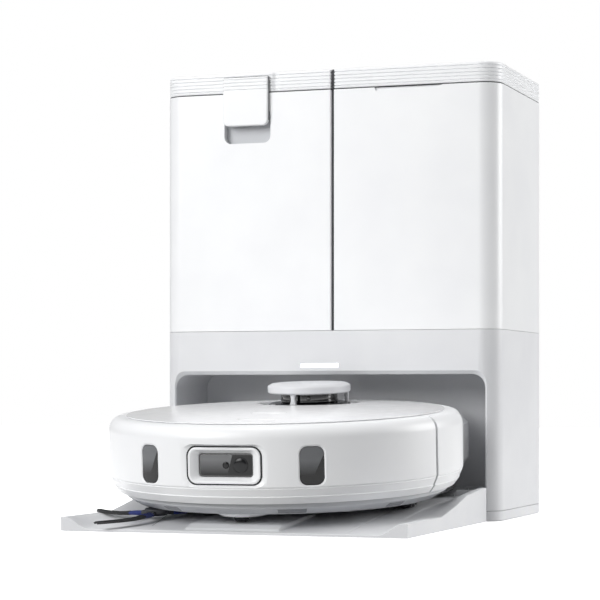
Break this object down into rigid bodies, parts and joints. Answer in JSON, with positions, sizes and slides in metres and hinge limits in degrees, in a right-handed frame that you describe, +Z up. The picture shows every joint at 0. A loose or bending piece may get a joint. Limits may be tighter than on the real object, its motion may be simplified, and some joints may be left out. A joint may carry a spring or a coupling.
{
  "type": "robot vacuum with station",
  "caption": "Round robot vacuum and mop parked on the ramp of its white station, with lidded water tanks, bumper, turret, brushes and turning mop pads.",
  "frame": {"origin": "on the floor, in the plane of the station's front face, half way across the station", "axes": "+X to the right when facing the station, +Y back into the station, +Z up"},
  "size_m": [0.346, 0.4644, 0.44],
  "materials": {
    "white_abs": "moulded white ABS, satin gloss",
    "grey_abs": "moulded light grey ABS, fine texture",
    "pan_grey": "moulded mid grey ABS",
    "dark_plastic": "moulded near-black plastic",
    "dark_glass": "dark tinted acrylic, polished",
    "light_diffuser": "white light diffuser",
    "black_rubber": "black moulded rubber",
    "bristle": "black nylon bristle on a moulded hub",
    "mop_cloth": "grey microfibre loop pile",
    "bag_paper": "non-woven dust bag paper",
    "contact_metal": "plated spring strip",
    "board_green": "green solder mask"
  },
  "bodies": {
    "station": {"base_plate": "grey_abs", "foot_1": "black_rubber", "foot_2": "black_rubber", "foot_3": "black_rubber", "foot_4": "black_rubber", "wash_tray": "grey_abs", "housing": "grey_abs", "light_bar": "light_diffuser", "dust_port": "black_rubber", "charge_contact_left": "contact_metal", "charge_contact_right": "contact_metal", "rear_panel": "grey_abs", "power_inlet": "dark_plastic", "dust_bag": "bag_paper", "suction_fan": "dark_plastic", "water_pump": "dark_plastic"},
    "dust_door": {"dust_door": "grey_abs"},
    "dirty_tank": {"dirty_tank": "white_abs"},
    "dirty_lid": {"dirty_lid": "white_abs"},
    "lid_clip": {"lid_clip": "white_abs"},
    "dirty_handle": {"dirty_handle": "white_abs"},
    "clean_tank": {"clean_tank": "white_abs"},
    "clean_lid": {"clean_lid": "white_abs"},
    "clean_handle": {"clean_handle": "white_abs"},
    "robot": {"chassis_pan": "pan_grey", "upper_body": "white_abs", "mop_module": "grey_abs", "turret_base": "dark_plastic", "turret_cap": "white_abs", "dust_bin": "dark_glass", "battery": "dark_plastic", "main_board": "board_green", "vacuum_fan": "dark_plastic", "brush_guard": "pan_grey"},
    "bumper": {"bumper": "white_abs", "camera_bezel": "white_abs", "camera_glass": "dark_glass", "camera_lens": "dark_glass", "camera_lamp": "dark_glass", "window_left": "dark_glass", "window_right": "dark_glass"},
    "turret_drum": {"turret_drum": "dark_glass"},
    "top_cover": {"top_cover": "white_abs"},
    "power_button": {"power_button": "white_abs"},
    "home_button": {"home_button": "white_abs"},
    "wheel_arm_left": {"wheel_arm_left": "dark_plastic"},
    "wheel_left": {"wheel_hub_left": "grey_abs", "tyre_left": "black_rubber"},
    "wheel_arm_right": {"wheel_arm_right": "dark_plastic"},
    "wheel_right": {"wheel_hub_right": "grey_abs", "tyre_right": "black_rubber"},
    "caster_fork": {"caster_fork": "grey_abs"},
    "caster_wheel": {"caster_wheel": "black_rubber"},
    "main_brush": {"main_brush": "black_rubber"},
    "side_brush": {"side_brush": "bristle"},
    "mop_carrier": {"mop_carrier": "dark_plastic"},
    "mop_left": {"mop_plate_left": "dark_plastic", "mop_pad_left": "mop_cloth"},
    "mop_right": {"mop_plate_right": "dark_plastic", "mop_pad_right": "mop_cloth"}
  },
  "joints": [
    {"name": "dust_door_hinge", "type": "hinge", "parent": "station", "child": "dust_door", "pos_m": [-0.0745, 0.178, 0.082], "axis": [0, 0, 1], "range_deg": [0, 110]},
    {"name": "dirty_tank_lift", "type": "slide", "parent": "station", "child": "dirty_tank", "axis": [0, 0, 1], "range_m": [0, 0.2]},
    {"name": "dirty_lid_hinge", "type": "hinge", "parent": "dirty_tank", "child": "dirty_lid", "pos_m": [-0.0843, 0.181, 0.41985], "axis": [-1, 0, 0], "range_deg": [0, 95]},
    {"name": "lid_clip_hinge", "type": "hinge", "parent": "dirty_lid", "child": "lid_clip", "pos_m": [-0.0837, -0.0003, 0.4355], "axis": [-1, 0, 0], "range_deg": [0, 35]},
    {"name": "dirty_handle_hinge", "type": "hinge", "parent": "dirty_lid", "child": "dirty_handle", "pos_m": [-0.0843, 0.118, 0.4355], "axis": [-1, 0, 0], "range_deg": [0, 90]},
    {"name": "clean_tank_lift", "type": "slide", "parent": "station", "child": "clean_tank", "axis": [0, 0, 1], "range_m": [0, 0.2]},
    {"name": "clean_lid_hinge", "type": "hinge", "parent": "clean_tank", "child": "clean_lid", "pos_m": [0.09005, 0.181, 0.41985], "axis": [-1, 0, 0], "range_deg": [0, 95]},
    {"name": "clean_handle_hinge", "type": "hinge", "parent": "clean_lid", "child": "clean_handle", "pos_m": [0.09005, 0.118, 0.4355], "axis": [-1, 0, 0], "range_deg": [0, 90]},
    {"name": "robot_drive_out", "type": "slide", "parent": "station", "child": "robot", "axis": [0, -0.9997, -0.0227], "range_m": [0, 0.37]},
    {"name": "bumper_press", "type": "slide", "parent": "robot", "child": "bumper", "axis": [0, 0.9976, 0.0698], "range_m": [0, 0.0028], "stiffness_N_per_m": 600, "springref_m": -0.002},
    {"name": "turret_spin", "type": "hinge", "parent": "robot", "child": "turret_drum", "pos_m": [0, -0.05146, 0.11831], "axis": [0, -0.0698, 0.9976], "continuous": true},
    {"name": "top_cover_lift", "type": "slide", "parent": "robot", "child": "top_cover", "axis": [0, -0.0698, 0.9976], "range_m": [0, 0.02]},
    {"name": "power_button_press", "type": "slide", "parent": "robot", "child": "power_button", "axis": [0, 0.0698, -0.9976], "range_m": [0, 0.001], "stiffness_N_per_m": 300, "springref_m": -0.001},
    {"name": "home_button_press", "type": "slide", "parent": "robot", "child": "home_button", "axis": [0, 0.0698, -0.9976], "range_m": [0, 0.001], "stiffness_N_per_m": 300, "springref_m": -0.001},
    {"name": "wheel_arm_left_swing", "type": "hinge", "parent": "robot", "child": "wheel_arm_left", "pos_m": [-0.0965, -0.06765, 0.06305], "axis": [-1, 0, 0], "range_deg": [0, 10], "stiffness_Nm_per_rad": 3, "springref_deg": -14.32},
    {"name": "wheel_left_spin", "type": "hinge", "parent": "wheel_arm_left", "child": "wheel_left", "pos_m": [-0.111, -0.11504, 0.05271], "axis": [1, 0, 0], "continuous": true},
    {"name": "wheel_arm_right_swing", "type": "hinge", "parent": "robot", "child": "wheel_arm_right", "pos_m": [0.0965, -0.06765, 0.06305], "axis": [-1, 0, 0], "range_deg": [0, 10], "stiffness_Nm_per_rad": 3, "springref_deg": -14.32},
    {"name": "wheel_right_spin", "type": "hinge", "parent": "wheel_arm_right", "child": "wheel_right", "pos_m": [0.111, -0.11504, 0.05271], "axis": [1, 0, 0], "continuous": true},
    {"name": "caster_swivel", "type": "hinge", "parent": "robot", "child": "caster_fork", "pos_m": [0, -0.22516, 0.02196], "axis": [0, -0.0698, 0.9976], "continuous": true},
    {"name": "caster_roll", "type": "hinge", "parent": "caster_fork", "child": "caster_wheel", "pos_m": [0, -0.23178, 0.02049], "axis": [1, 0, 0], "continuous": true},
    {"name": "main_brush_spin", "type": "hinge", "parent": "robot", "child": "main_brush", "pos_m": [0, -0.16189, 0.0346], "axis": [1, 0, 0], "continuous": true},
    {"name": "side_brush_spin", "type": "hinge", "parent": "robot", "child": "side_brush", "pos_m": [-0.092, -0.20445, 0.01238], "axis": [0, -0.0698, 0.9976], "continuous": true},
    {"name": "mop_lift", "type": "slide", "parent": "robot", "child": "mop_carrier", "axis": [0, -0.0698, 0.9976], "range_m": [0, 0.008]},
    {"name": "mop_right_spin", "type": "hinge", "parent": "mop_carrier", "child": "mop_right", "pos_m": [0.064, 0.00261, 0.03317], "axis": [0, -0.0698, 0.9976], "continuous": true},
    {"name": "mop_left_spin", "type": "hinge", "parent": "mop_carrier", "child": "mop_left", "pos_m": [-0.064, 0.00261, 0.03317], "axis": [0, -0.0698, 0.9976], "continuous": true}
  ],
  "couplings": [
    {"joint": "mop_left_spin", "follows": "mop_right_spin", "ratio": -1}
  ]
}
